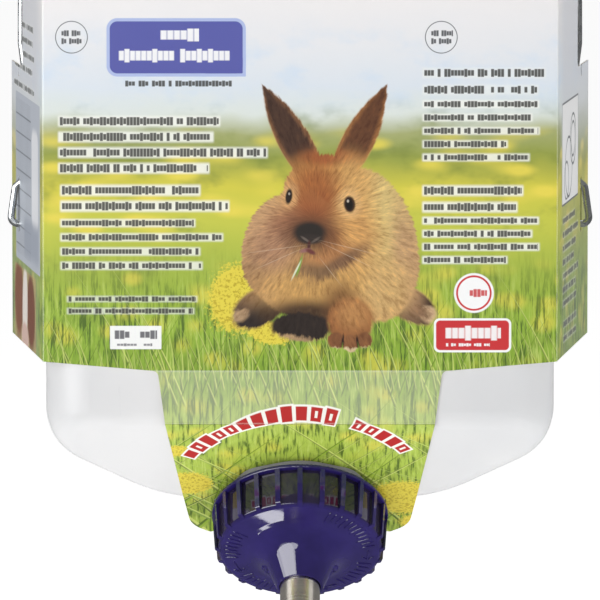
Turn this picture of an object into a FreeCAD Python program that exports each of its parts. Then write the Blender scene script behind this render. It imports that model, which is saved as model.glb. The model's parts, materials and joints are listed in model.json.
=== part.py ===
import FreeCAD, Part
import math
import os
import Sketcher
from FreeCAD import Placement, Rotation, Vector

# Hanging water bottle for rabbits, in millimetres. +X is the animal's right as it drinks, -Y is the cage
# side that the drinking tube points to, +Z is up. The origin is the axis of the cage rail that the two
# hooks hang on, midway between them.

SIZES = [
    # hanging
    ("rail_to_front", 4.0, "rail axis to the bottle's front face"),
    ("rail_to_base", 20.0, "rail axis down to the bottle's base, which is uppermost in use"),
    ("rail_room", 4.0, "radius left free inside a hook's bend"),
    # bottle
    ("bottle_width", 161.0, "X"),
    ("bottle_depth", 85.0, "Y"),
    ("bottle_height", 162.0, "Z, without the neck"),
    ("bottle_wall", 1.2, "blow-moulded wall"),
    ("base_round", 10.0, "side edges of the base"),
    ("face_round", 14.0, "edges of the front and back faces"),
    ("shoulder_fall", 28.6, "degrees that each shoulder slopes"),
    ("shoulder_flat", 43.4, "half-width of the flat underside"),
    ("shoulder_round", 20.0, "side wall to shoulder"),
    ("underside_round", 50.0, "shoulder to underside"),
    ("front_height", 134.3, "height of the front face"),
    ("slope_round", 8.0, "edges of the neck slope"),
    # neck and closure; the neck frame has its origin on the cap's rim plane and +Z out of the mouth
    ("neck_tilt", 41.5, "degrees that the mouth is turned forward from straight down"),
    ("neck_reach", 46.0, "neck axis from the front face's lower edge, along the slope"),
    ("pad_radius", 29.0, "round pad under the neck"),
    ("pad_length", 33.5, "pad's face back into the body"),
    ("rim_gap", 3.0, "pad face to cap rim"),
    ("neck_radius", 23.1, "outside of the neck"),
    ("neck_wall", 1.7, ""),
    ("lip_height", 10.4, "rim plane to the neck's lip"),
    ("thread_pitch", 4.233, "six turns to the inch"),
    ("thread_radius", 24.3, "crest of the neck's thread"),
    ("thread_start", 1.6, "middle of the first thread above the rim plane"),
    ("neck_turns", 1.8, "turns on the neck"),
    ("cap_turns", 1.0, "turns in the cap"),
    # cap
    ("rim_radius", 28.2, "flange round the cap's rim"),
    ("panel_radius", 26.4, "recessed panels between the grip ribs"),
    ("bore_radius", 24.65, "inside of the cap"),
    ("roof_inside", 12.0, "rim plane to the inside of the cap's roof"),
    ("dome_edge", 14.3, "rim plane to the edge of the dome"),
    ("dome_waist", 19.0, "radius where the dome turns towards the flare"),
    ("dome_round", 6.0, "its round there"),
    ("flare_foot", 12.6, "radius at the foot of the flare up to the spout"),
    ("flare_round", 9.0, "hollow round of the flare"),
    ("spout_height", 28.4, "rim plane to the spout's tip"),
    ("spout_radius", 7.3, "outside of the spout's tip"),
    ("spout_bore", 6.6, "hole that the tube leaves by"),
    ("grommet_radius", 7.3, "outside of the grommet's sleeve"),
    ("grommet_top", 24.6, "rim plane to the grommet's outer end"),
    ("grip_ribs", 24, "ribs round the skirt"),
    ("rib_width", 1.6, ""),
    # liner, grommet, tube and balls
    ("liner_hole", 11.4, "radius"),
    ("liner_radius", 24.3, ""),
    ("tube_radius", 6.35, "half-inch tube"),
    ("tube_wall", 0.7, ""),
    ("tube_fit", 0.05, "running clearance in the grommet"),
    ("tube_reach", 75.0, "tube beyond the spout"),
    ("tube_flare", 8.3, "flared inner end that stops the tube from pulling out"),
    ("bead_outside", 5.1, "radius at the bottom of the rolled bead"),
    ("bead_inside", 4.4, "radius that the bead leaves free, less than the balls'"),
    ("tip_radius", 4.75, "outside of the crimped tip"),
    ("seat_depth", 2.7, "lower ball's centre, inside the tip"),
    ("bead_above", 1.98, "bead's middle above the upper ball's centre when it is lifted"),
    ("ball_radius", 4.7625, "three-eighths-inch ball"),
    ("ball_lift", 3.0, "travel of the lower ball off its seat"),
    ("mouth_radius", 4.2, "crimped mouth of the tube"),
    # wire hanger
    ("wire_radius", 1.15, "bail wire"),
    ("hook_radius", 1.25, "hook wire"),
    ("groove_depth", 0.6, "seat of the bail across the base"),
    ("socket_depth", 2.5, "sockets for the bail's feet"),
    ("bail_depth", 65.0, "bail wire behind the bottle's front face"),
    ("weld", 0.25, "how far the hook wires sink into the bail"),
    ("hook_spread", 45.0, "each hook from the middle"),
    ("hook_tip", 7.0, "hook's free end above the base"),
    ("foot_drop", 77.0, "bail feet below the base"),
    ("foot_inset", 2.3, "each foot's end inside the bottle's side"),
    ("bow_height", 12.0, "straight run of each finger bow"),
    ("leg_x", 88.7, "bail legs from the middle, inside the sleeve"),
    ("bow_x", 93.5, "outermost bend of the finger bows"),
    # printed card sleeve
    ("card", 0.5, "thickness"),
    ("card_gap", 0.1, "card to bottle"),
    ("fold_x", 81.1, "front folds from the middle"),
    ("wing_flare", 12.4, "how far each wing's back edge stands out"),
    ("wing_drop", 114.4, "lower edge of the wings below the base"),
    ("panel_drop", 117.6, "lower edge of the panel where the fork leaves it"),
    ("step_drop", 25.6, "step in the wings' back edge below the base"),
    ("step_depth", 54.0, "depth of the wings above the step"),
    ("fork_top", 44.9, "half-width of the fork where it leaves the panel"),
    ("fork_fold", 42.6, "half-width of the fork at its fold"),
    ("fork_slot", 27.5, "half-width of the slot round the neck"),
    ("fork_length", 61.0, "length of the fork along the neck slope"),
    ("fork_taper", 7.6, "how much narrower each side of the fork is at its ends"),
    ("flap_reach", 45.0, "flap over the base, from the bottle's front face"),
    ("notch_depth", 3.6, "notch in the wings' step where the bail's legs pass"),
    ("slit_height", 18.0, "slit in the wings where the finger bows come out"),
]

doc = FreeCAD.newDocument("rabbit_water_bottle")
sheet = doc.addObject("Spreadsheet::Sheet", "Sizes")
for row, (alias, value, note) in enumerate(SIZES, start=1):
    sheet.set(f"A{row}", alias)
    sheet.set(f"B{row}", repr(value))
    sheet.set(f"C{row}", note)
    sheet.setAlias(f"B{row}", alias)
doc.recompute()


def size(expression):
    """The value of an expression over the sheet's aliases, such as 'bottle_width / 2'."""
    return float(sheet.evalExpression(bound(expression)))


def bound(expression):
    """The same expression as other objects have to write it."""
    words, word = [], ""
    for letter in str(expression) + " ":
        if letter.isalnum() or letter in "_.":
            word += letter
        else:
            words.append("Sizes." + word if word in ALIASES else word)
            words.append(letter)
            word = ""
    return "".join(words).strip()


ALIASES = {alias for alias, value, note in SIZES}


# ---------------------------------------------------------------- sketches


def new_sketch(body, name, plane, shift=(0, 0, 0), tilt=0):
    """A sketch on one of the body's origin planes, moved by shift and turned about the plane's own X."""
    sketch = body.newObject("Sketcher::SketchObject", name)
    support = [f for f in body.Origin.OriginFeatures if f.Role == plane][0]
    sketch.AttachmentSupport = [(support, "")]
    sketch.MapMode = "FlatFace"
    place = Vector(*(size(s) for s in shift))
    sketch.AttachmentOffset = Placement(place, Rotation(Vector(1, 0, 0), size(tilt)))
    for axis, amount in zip("xyz", shift):
        if amount != 0:
            sketch.setExpression(f"AttachmentOffset.Base.{axis}", bound(amount))
    return sketch


def fix_point(sketch, geometry, end, x, y):
    for kind, amount in (("DistanceX", x), ("DistanceY", y)):
        index = sketch.addConstraint(Sketcher.Constraint(kind, -1, 1, geometry, end, size(amount)))
        if isinstance(amount, str):
            sketch.setExpression(f"Constraints[{index}]", bound(amount))


def fix_radius(sketch, geometry, radius):
    index = sketch.addConstraint(Sketcher.Constraint("Radius", geometry, size(radius)))
    if isinstance(radius, str):
        sketch.setExpression(f"Constraints[{index}]", bound(radius))


def add_circle(sketch, x, y, radius):
    centre = Vector(size(x), size(y), 0)
    circle = sketch.addGeometry(Part.Circle(centre, Vector(0, 0, 1), size(radius)), False)
    fix_point(sketch, circle, 3, x, y)
    fix_radius(sketch, circle, radius)
    return sketch


def corner_arc(before, corner, after, radius):
    """Tangent arc in a corner: its two ends, the arc and whether it turns left."""
    back = (before - corner).normalize()
    ahead = (after - corner).normalize()
    half = back.getAngle(ahead) / 2
    start = corner + back * (radius / math.tan(half))
    end = corner + ahead * (radius / math.tan(half))
    centre = corner + (back + ahead).normalize() * (radius / math.sin(half))
    left = back.cross(ahead).z < 0
    first, last = (start, end) if left else (end, start)
    angles = [math.atan2(p.y - centre.y, p.x - centre.x) for p in (first, last)]
    if angles[1] < angles[0]:
        angles[1] += 2 * math.pi
    return start, end, Part.ArcOfCircle(Part.Circle(centre, Vector(0, 0, 1), radius), *angles), left


def add_outline(sketch, points, closed=True):
    """Straight runs through the points (x, y) or (x, y, radius); a radius rounds the corner there."""
    count = len(points)
    places = [Vector(size(p[0]), size(p[1]), 0) for p in points]
    enters, leaves, arcs = list(places), list(places), {}
    for i, point in enumerate(points):
        if len(point) == 3:
            around = (places[i - 1], places[i], places[(i + 1) % count], size(point[2]))
            enters[i], leaves[i], arc, left = corner_arc(*around)
            arcs[i] = (sketch.addGeometry(arc, False), (1, 2) if left else (2, 1))
    runs = count if closed else count - 1
    lines = [sketch.addGeometry(Part.LineSegment(leaves[i], enters[(i + 1) % count]), False)
             for i in range(runs)]
    for i, point in enumerate(points):
        before = lines[i - 1] if closed or i > 0 else None
        after = lines[i] if i < runs else None
        if i in arcs:
            arc, (first, last) = arcs[i]
            corner = sketch.addGeometry(Part.Point(places[i]), True)
            fix_point(sketch, corner, 1, point[0], point[1])
            sketch.addConstraint(Sketcher.Constraint("PointOnObject", corner, 1, before))
            sketch.addConstraint(Sketcher.Constraint("PointOnObject", corner, 1, after))
            sketch.addConstraint(Sketcher.Constraint("Tangent", before, 2, arc, first))
            sketch.addConstraint(Sketcher.Constraint("Tangent", arc, last, after, 1))
            fix_radius(sketch, arc, point[2])
        elif before is None:
            fix_point(sketch, after, 1, point[0], point[1])
        else:
            fix_point(sketch, before, 2, point[0], point[1])
            if after is not None:
                sketch.addConstraint(Sketcher.Constraint("Coincident", before, 2, after, 1))
    return sketch


# ---------------------------------------------------------------- features


def new_body(label, in_neck_frame=False):
    """A body in the bottle's frame (origin at the middle of the base's front edge) or in the neck's."""
    body = doc.addObject("PartDesign::Body", label)
    body.Label = label
    if in_neck_frame:
        place_in_neck_frame(body, "0")
    else:
        body.Placement = Placement(Vector(0, size("rail_to_front"), -size("rail_to_base")), Rotation())
        body.setExpression("Placement.Base.y", bound("rail_to_front"))
        body.setExpression("Placement.Base.z", bound("-rail_to_base"))
    return body


NECK_Y = "rail_to_front + neck_reach * cos(neck_tilt) - rim_gap * sin(neck_tilt)"
NECK_Z = "-rail_to_base - front_height - neck_reach * sin(neck_tilt) - rim_gap * cos(neck_tilt)"


def place_in_neck_frame(thing, along):
    """Puts an object on the neck axis, this far out from the cap's rim plane."""
    y = f"{NECK_Y} - ({along}) * sin(neck_tilt)"
    z = f"{NECK_Z} - ({along}) * cos(neck_tilt)"
    turn = Rotation(Vector(1, 0, 0), 180 - size("neck_tilt"))
    thing.Placement = Placement(Vector(0, size(y), size(z)), turn)
    thing.setExpression("Placement.Base.y", bound(y))
    thing.setExpression("Placement.Base.z", bound(z))
    thing.setExpression("Placement.Rotation.Angle", bound("180 - neck_tilt"))


def extrude(body, kind, name, sketch, length, reverse=False, symmetric=False):
    """A Pad or a Pocket; a cut that removes nothing stops the build."""
    doc.recompute()
    before = body.Shape.Volume if body.Tip else 0.0
    feature = body.newObject(f"PartDesign::{kind}", name)
    feature.Profile = sketch
    feature.Length = size(length)
    feature.setExpression("Length", bound(length))
    feature.Reversed = reverse
    feature.SideType = "Symmetric" if symmetric else "One side"
    doc.recompute()
    if kind == "Pocket" and not before - body.Shape.Volume > 1e-3:
        raise RuntimeError(f"{name} removes nothing")
    return feature


def revolve(body, name, sketch):
    feature = body.newObject("PartDesign::Revolution", name)
    feature.Profile = sketch
    feature.ReferenceAxis = (sketch, ["V_Axis"])
    feature.Angle = 360
    doc.recompute()
    return feature


def sweep(body, name, profile, path):
    feature = body.newObject("PartDesign::AdditivePipe", name)
    feature.Profile = profile
    feature.Spine = (path, [])
    doc.recompute()
    return feature


def fillet(body, name, base, radius, wanted):
    """Rounds the edges of the base feature that wanted(edge) picks."""
    doc.recompute()
    edges = [f"Edge{i}" for i, edge in enumerate(base.Shape.Edges, start=1) if wanted(edge)]
    feature = body.newObject("PartDesign::Fillet", name)
    feature.Base = (base, edges)
    feature.Radius = size(radius)
    feature.setExpression("Radius", bound(radius))
    doc.recompute()
    return feature


def runs_along_y(x, z):
    """Picks the edges parallel to Y at plus or minus x and at height z."""
    x, z = size(x), size(z)

    def wanted(edge):
        box = edge.BoundBox
        flat = box.XLength < 1e-3 and box.ZLength < 1e-3
        return flat and abs(abs(box.XMin) - x) < 0.1 and abs(box.ZMin - z) < 0.1
    return wanted


def thread(body, name, outline, turns, tilt=0, shift=(0, 0, 0), plane="XZ_Plane"):
    """A helical ridge of the given section (radius, height) about the sketch's vertical axis."""
    sketch = new_sketch(body, name + "_section", plane, shift)
    if tilt:
        sketch.AttachmentOffset = Placement(sketch.AttachmentOffset.Base,
                                            Rotation(Vector(0, 0, 1), size(tilt)))
        sketch.setExpression("AttachmentOffset.Rotation.Angle", bound(tilt))
    add_outline(sketch, outline)
    doc.recompute()
    helix = body.newObject("PartDesign::AdditiveHelix", name)
    helix.Profile = sketch
    helix.ReferenceAxis = (sketch, ["V_Axis"])
    helix.Mode = "pitch-turns-angle"
    helix.setExpression("Pitch", bound("thread_pitch"))
    helix.setExpression("Turns", bound(turns))
    doc.recompute()
    return helix


# ---------------------------------------------------------------- the pieces


def add_bottle_form(body, inset):
    """The bottle's solid form, drawn in by inset on every side: a rounded box with sloping shoulders,
    a slanted face for the neck and a round pad. The inside of the shell is the same form, smaller."""
    half = f"(bottle_width / 2 - {inset})"
    flat = f"(shoulder_flat - {inset} * tan(shoulder_fall / 2))"
    low = f"({inset} - bottle_height)"
    side_low = f"({low} + ({half} - {flat}) * tan(shoulder_fall))"
    front = new_sketch(body, "front_outline", "XZ_Plane", (0, 0, f"-{inset}"))
    add_outline(front, [
        (f"-{half}", f"-{inset}"), (half, f"-{inset}"), (half, side_low),
        (flat, low), (f"-{flat}", low), (f"-{half}", side_low)])
    block = extrude(body, "Pad", "block", front, f"bottle_depth - 2 * {inset}", reverse=True)
    block = fillet(body, "base_edges", block, f"base_round - {inset}", runs_along_y(half, f"-{inset}"))
    block = fillet(body, "shoulder_edges", block, f"shoulder_round - {inset}",
                   runs_along_y(half, side_low))
    block = fillet(body, "underside_edges", block, f"underside_round - {inset}", runs_along_y(flat, low))
    near, far = size(inset), size(f"bottle_depth - {inset}")
    fillet(body, "face_edges", block, f"face_round - {inset}",
           lambda edge: edge.BoundBox.YMin > far - 1e-3 or edge.BoundBox.YMax < near + 1e-3)

    slope = new_sketch(body, "slope_outline", "YZ_Plane")
    top = f"({inset} / cos(neck_tilt) - front_height)"
    add_outline(slope, [(-30, f"{top} + 30 * tan(neck_tilt)"), (150, f"{top} - 150 * tan(neck_tilt)"),
                        (-30, f"{top} - 150 * tan(neck_tilt)")])
    cut = extrude(body, "Pocket", "neck_slope", slope, "2 * bottle_width", symmetric=True)
    tilt = math.radians(size("neck_tilt"))
    outward = Vector(0, -math.sin(tilt), -math.cos(tilt))
    sloping = [f for f in cut.Shape.Faces if f.Surface.TypeId == "Part::GeomPlane"
               and f.normalAt(0, 0).dot(outward) > 0.9999][0]
    fillet(body, "slope_edges", cut, f"slope_round - {inset}",
           lambda edge: any(edge.isSame(other) for other in sloping.Edges))

    pad = new_sketch(body, "pad_outline", "XY_Plane", neck_root(f"-{inset}"), "180 - neck_tilt")
    add_circle(pad, 0, 0, f"pad_radius - {inset}")
    extrude(body, "Pad", "neck_pad", pad, "pad_length", reverse=True)


def neck_root(along):
    """A point on the neck axis in the bottle's frame, this far out from the pad's face."""
    return (0, f"neck_reach * cos(neck_tilt) - ({along}) * sin(neck_tilt)",
            f"-front_height - neck_reach * sin(neck_tilt) - ({along}) * cos(neck_tilt)")


def add_side_holes(body, name, inset, radius, depth):
    """Round holes into both side faces, where the bail's feet go in."""
    for side, hand in ((1, "right"), (-1, "left")):
        place = (0, 0, f"{side} * (bottle_width / 2 - {inset})")
        circle = new_sketch(body, f"{name}_outline_{hand}", "YZ_Plane", place)
        add_circle(circle, "bail_depth", "-foot_drop", radius)
        extrude(body, "Pocket", f"{name}_{hand}", circle, depth, reverse=side < 0)


def make_bottle():
    """Blow-moulded shell with a threaded neck, a groove for the bail and two sockets for its feet."""
    outside = new_body("bottle_outside")
    add_bottle_form(outside, "0")
    groove = new_sketch(outside, "bail_groove_outline", "YZ_Plane")
    near, far = "bail_depth - wire_radius - 0.2", "bail_depth + wire_radius + 0.2"
    add_outline(groove, [(near, "-groove_depth"), (far, "-groove_depth"), (far, 2), (near, 2)])
    extrude(outside, "Pocket", "bail_groove", groove, "2 * bottle_width", symmetric=True)
    add_side_holes(outside, "foot_socket", "0", "wire_radius + 0.15", "socket_depth")
    neck = new_sketch(outside, "neck_outline", "XY_Plane", neck_root("0"), "180 - neck_tilt")
    add_circle(neck, 0, 0, "neck_radius")
    extrude(outside, "Pad", "neck", neck, "rim_gap + lip_height")
    rim_y, rim_z = neck_root("rim_gap")[1:]
    thread(outside, "neck_thread",
           thread_section("neck_radius - 0.2", "thread_radius", "thread_start", 1.25, 0.65),
           "neck_turns", tilt="180 - neck_tilt", shift=(rim_y, rim_z, 0), plane="YZ_Plane")

    inside = new_body("bottle_inside")
    add_bottle_form(inside, "bottle_wall")
    add_side_holes(inside, "socket_boss", "bottle_wall", "wire_radius + 1.6", "socket_depth")
    bore = new_sketch(inside, "bore_outline", "XY_Plane", neck_root("-pad_radius / 2"), "180 - neck_tilt")
    add_circle(bore, 0, 0, "neck_radius - neck_wall")
    extrude(inside, "Pad", "neck_bore", bore, "pad_radius / 2 + rim_gap + lip_height + 5")

    shell = doc.addObject("Part::Cut", "bottle_shell")
    shell.Base = outside
    shell.Tool = inside
    doc.recompute()
    return shell


def thread_section(root, crest, middle, root_half, crest_half):
    """Trapezoid in (radius, height): wide at the wall it stands on and narrow at its crest."""
    return [(root, f"{middle} - {root_half}"), (crest, f"{middle} - {crest_half}"),
            (crest, f"{middle} + {crest_half}"), (root, f"{middle} + {root_half}")]


def make_cap():
    """Screw cap: flanged rim, ribbed skirt, dished roof that sweeps up to the spout, inner thread.
    The neck's thread starts a quarter turn after the section plane here, so the cap's thread, which
    runs in the middle of its groove, starts a quarter of the pitch higher."""
    body = new_body("cap_shell", in_neck_frame=True)
    section = new_sketch(body, "cap_section", "XZ_Plane")
    add_outline(section, [
        ("bore_radius + 0.5", 0), ("rim_radius", 0, 0.45), ("rim_radius", 1.3, 0.45),
        ("panel_radius", 1.7), ("panel_radius - 0.3", "dome_edge - 0.6", 0.6),
        ("panel_radius - 1.2", "dome_edge + 0.2", 1.2), ("dome_waist", "dome_edge + 0.9", "dome_round"),
        ("flare_foot", "dome_edge + 1.9", "flare_round"), ("spout_radius", "spout_height", 0.3),
        ("spout_bore", "spout_height"), ("spout_bore", "grommet_top"),
        ("grommet_radius", "grommet_top"), ("grommet_radius", "roof_inside"),
        ("bore_radius", "roof_inside", 0.6), ("bore_radius", 0.6)])
    revolve(body, "cap_wall", section)
    rib = new_sketch(body, "rib_outline", "XZ_Plane")
    add_outline(rib, [
        ("panel_radius - 0.8", 0.7), ("rim_radius - 0.15", 0.7),
        ("rim_radius - 1.05", "dome_edge - 0.6", 0.8), ("panel_radius - 0.9", "dome_edge + 0.1")])
    first = extrude(body, "Pad", "rib", rib, "rib_width", symmetric=True)
    ring = body.newObject("PartDesign::PolarPattern", "grip")
    ring.Originals = [first]
    ring.Axis = (rib, ["V_Axis"])
    ring.Angle = 360
    ring.Occurrences = int(size("grip_ribs"))
    ring.setExpression("Occurrences", bound("grip_ribs"))
    body.Tip = ring
    doc.recompute()
    thread(body, "cap_thread", thread_section("bore_radius + 0.2", "neck_radius + 0.45",
                                              "thread_start + thread_pitch / 4", 1.05, 0.6), "cap_turns")
    return body


def turned_piece(label, points):
    """A piece turned about the neck axis from a section in (radius, height)."""
    body = new_body(label, in_neck_frame=True)
    section = new_sketch(body, label + "_section", "XZ_Plane")
    add_outline(section, points)
    revolve(body, label + "_turned", section)
    return body


def make_liner():
    """Flat ring that seals the neck's lip."""
    low, high = "lip_height + 0.05", "roof_inside - 0.05"
    return turned_piece("cap_liner", [
        ("liner_hole", low), ("liner_radius", low), ("liner_radius", high), ("liner_hole", high)])


def make_grommet():
    """Rubber sleeve with an inner flange that holds the tube in the spout."""
    inner, flange = "tube_radius + tube_fit", "lip_height - 0.2"
    return turned_piece("tube_grommet", [
        (inner, flange), ("liner_hole - 0.4", flange, 0.4), ("liner_hole - 0.4", "roof_inside"),
        ("grommet_radius", "roof_inside"), ("grommet_radius", "grommet_top"), (inner, "grommet_top")])


TIP = "(spout_height + tube_reach)"
LOWER_BALL = f"({TIP} - seat_depth)"
UPPER_BALL = f"({LOWER_BALL} - 2 * ball_radius - 0.05)"
BEAD = f"({UPPER_BALL} - ball_lift - bead_above)"


def make_tube():
    """Stainless tube: flared inner end, a rolled bead that stops the balls and a crimped mouth."""
    inner = "tube_radius - tube_wall"
    return turned_piece("drinking_tube", [
        ("tube_flare - 0.95", "lip_height - 2.4"), ("tube_flare", "lip_height - 2.4"),
        ("tube_radius", "lip_height - 0.45"),
        ("tube_radius", f"{BEAD} - 1.7", 0.8), ("bead_outside", BEAD, 0.9),
        ("tube_radius", f"{BEAD} + 1.7", 0.8),
        ("tube_radius", f"{TIP} - 2.9", 2.5), ("tip_radius", TIP, 0.3), ("mouth_radius", TIP),
        ("mouth_radius", f"{TIP} - 0.35"), (inner, f"{TIP} - 3.2", 1.5),
        (inner, f"{BEAD} + 1.45", 0.5), ("bead_inside", BEAD, 0.5), (inner, f"{BEAD} - 1.45", 0.5),
        (inner, "lip_height - 0.75")])


def make_ball(label, along):
    ball = doc.addObject("Part::Sphere", label)
    ball.Label = label
    ball.setExpression("Radius", bound("ball_radius"))
    place_in_neck_frame(ball, along)
    return ball


def make_bail():
    """Galvanised wire frame: across the base, down both sides, out through the card and into the bottle."""
    body = new_body("hanger_bail")
    right = [
        ("bottle_width / 2 - foot_inset", "-foot_drop"), ("bow_x", "-foot_drop", 2.2),
        ("bow_x - 1.7", "bow_height - foot_drop", 1.8), ("leg_x", "bow_height + 2.6 - foot_drop", 1.8),
        ("leg_x", "-step_drop - 1", 4), ("leg_x + 1", "7 - step_drop", 4),
        ("leg_x + 0.9", "wire_radius - groove_depth", 6)]
    left = [("-(" + corner[0] + ")",) + corner[1:] for corner in reversed(right)]
    path = new_sketch(body, "bail_path", "XZ_Plane", (0, 0, "-bail_depth"))
    add_outline(path, right + left, closed=False)
    round_wire = new_sketch(body, "bail_section", "YZ_Plane", (0, 0, "bottle_width / 2 - foot_inset"))
    add_circle(round_wire, "bail_depth", "-foot_drop", "wire_radius")
    sweep(body, "bail_wire", round_wire, path)
    return body


def make_hook(label, side):
    """Hook wire welded on the bail: forward over the base, up past the front and over the rail."""
    body = new_body(label)
    x = f"{side} * hook_spread"
    low = "2 * wire_radius - groove_depth + hook_radius - weld"
    back = "rail_room + hook_radius - rail_to_front"
    front = "-rail_room - hook_radius - rail_to_front"
    top = "rail_to_base + rail_room + hook_radius"
    bend = "rail_room + hook_radius - 0.05"
    path = new_sketch(body, label + "_path", "YZ_Plane", (0, 0, x))
    add_outline(path, [("bail_depth + 3", low), (back, low, 6), (back, top, bend), (front, top, bend),
                       (front, "hook_tip")], closed=False)
    round_wire = new_sketch(body, label + "_section", "XZ_Plane", (0, 0, "-bail_depth - 3"))
    add_circle(round_wire, x, low, "hook_radius")
    wire = sweep(body, label + "_wire", round_wire, path)
    radius = size("hook_radius")
    fillet(body, label + "_ends", wire, "0.6 * hook_radius",
           lambda edge: edge.Curve.TypeId == "Part::GeomCircle"
           and abs(edge.Curve.Radius - radius) < 1e-3
           and len([f for f in wire.Shape.ancestorsOfType(edge, Part.Face)
                    if f.Surface.TypeId == "Part::GeomPlane"]) == 1)
    return body


def make_sleeve():
    """Printed card: front panel, two flared wings, a flap over the base and a fork round the neck."""
    body = new_body("printed_sleeve")
    outer_y = "-card_gap - card"
    plan = new_sketch(body, "sleeve_plan", "XY_Plane", (0, 0, "card_gap + card"))
    back_x = "fold_x + wing_flare"
    add_outline(plan, [
        ("-(" + back_x + ")", "bottle_depth"), ("-fold_x", outer_y, 0.7), ("fold_x", outer_y, 0.7),
        (back_x, "bottle_depth"), (back_x + " - card", "bottle_depth"),
        ("fold_x - 0.45", "-card_gap", 0.2), ("0.45 - fold_x", "-card_gap", 0.2),
        ("card - (" + back_x + ")", "bottle_depth")])
    extrude(body, "Pad", "sleeve_strip", plan, "front_height + card_gap + card", reverse=True)

    lower = new_sketch(body, "wing_lower_cut", "YZ_Plane")
    add_outline(lower, [(0.4, "-wing_drop"), ("bottle_depth + 5", "-wing_drop"),
                        ("bottle_depth + 5", "-front_height - 5"), (0.4, "-front_height - 5")])
    extrude(body, "Pocket", "wing_lower", lower, "2 * bottle_width", symmetric=True)
    step = new_sketch(body, "wing_step_cut", "YZ_Plane")
    near, far = "bail_depth - wire_radius - 0.5", "bail_depth + wire_radius + 0.5"
    add_outline(step, [
        ("step_depth", 5), ("step_depth", "-step_drop", 3), (near, "-step_drop", 0.6),
        (near, "-step_drop - notch_depth", 1.5), (far, "-step_drop - notch_depth", 1.5),
        (far, "-step_drop", 0.6),
        ("bottle_depth + 5", "-step_drop"), ("bottle_depth + 5", 5)])
    extrude(body, "Pocket", "wing_step", step, "2 * bottle_width", symmetric=True)
    slit = new_sketch(body, "wing_slit_cut", "YZ_Plane")
    near, far = "bail_depth - wire_radius - 0.35", "bail_depth + wire_radius + 0.35"
    add_outline(slit, [(near, "-foot_drop - 2.5", 1.4), (far, "-foot_drop - 2.5", 1.4),
                       (far, "slit_height - 2.5 - foot_drop", 1.4),
                       (near, "slit_height - 2.5 - foot_drop", 1.4)])
    extrude(body, "Pocket", "wing_slit", slit, "2 * bottle_width", symmetric=True)

    lower_panel = new_sketch(body, "panel_lower_cut", "XZ_Plane")
    for side in ("", "-"):
        add_outline(lower_panel, [
            (f"{side}(fold_x + 4)", "0.2 - wing_drop"), (f"{side}fork_top", "-panel_drop", 2),
            (f"{side}fork_fold", "-front_height"), (f"{side}fork_fold", "-front_height - 5"),
            (f"{side}(fold_x + 4)", "-front_height - 5")])
    extrude(body, "Pocket", "panel_lower", lower_panel, "4 * card", symmetric=True)

    lap = new_sketch(body, "base_flap_outline", "XY_Plane", (0, 0, "card_gap"))
    add_outline(lap, [("3 - fold_x", outer_y), ("fold_x - 3", outer_y),
                      ("fold_x - 7", "flap_reach", 9), ("7 - fold_x", "flap_reach", 9)])
    extrude(body, "Pad", "base_flap", lap, "card")

    tilt = math.radians(size("neck_tilt"))
    root = (0, "-card_gap * sin(neck_tilt)", "-front_height - card_gap * cos(neck_tilt)")
    fork = new_sketch(body, "fork_outline", "XY_Plane", root, "180 - neck_tilt")
    add_outline(fork, [
        ("-fork_fold", 0.3), ("fork_fold", 0.3), ("fork_fold - 0.7 * fork_taper", -40, 30),
        ("fork_fold - fork_taper", "-fork_length + 5", 9), ("fork_slot", "-fork_length", 1.2),
        ("fork_slot", "4 - neck_reach"), ("0.62 * fork_slot", "0.78 * fork_slot - neck_reach", 9),
        (0, "fork_slot - neck_reach", 20), ("-0.62 * fork_slot", "0.78 * fork_slot - neck_reach", 9),
        ("-fork_slot", "4 - neck_reach"), ("-fork_slot", "-fork_length", 1.2),
        ("fork_taper - fork_fold", "-fork_length + 5", 9),
        ("0.7 * fork_taper - fork_fold", -40, 30)])
    extrude(body, "Pad", "neck_fork", fork, "card")
    return body


PIECES = [
    make_bottle(), make_sleeve(), make_cap(), make_liner(), make_grommet(), make_tube(),
    make_ball("valve_ball_lower", LOWER_BALL), make_ball("valve_ball_upper", UPPER_BALL),
    make_bail(), make_hook("cage_hook_right", 1), make_hook("cage_hook_left", -1)]

doc.recompute()
for item in doc.Objects:
    if "Invalid" in item.State or "Error" in item.State:
        raise RuntimeError(f"{item.Label} failed: {item.State}")
os.makedirs("parts", exist_ok=True)
for piece in PIECES:
    if piece.Shape.isNull() or not piece.Shape.isValid() or len(piece.Shape.Solids) != 1:
        raise RuntimeError(f"{piece.Label} is not one valid solid")
for piece in PIECES:
    piece.Shape.exportStep(os.path.join("parts", piece.Label + ".step"))
    box = piece.Shape.BoundBox
    print(f"{piece.Label:18s} {piece.Shape.Volume / 1000:8.2f} cm3  {box}")
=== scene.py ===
import json
import math

import bmesh
import bpy
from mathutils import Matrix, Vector, noise
from mathutils.bvhtree import BVHTree


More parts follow.
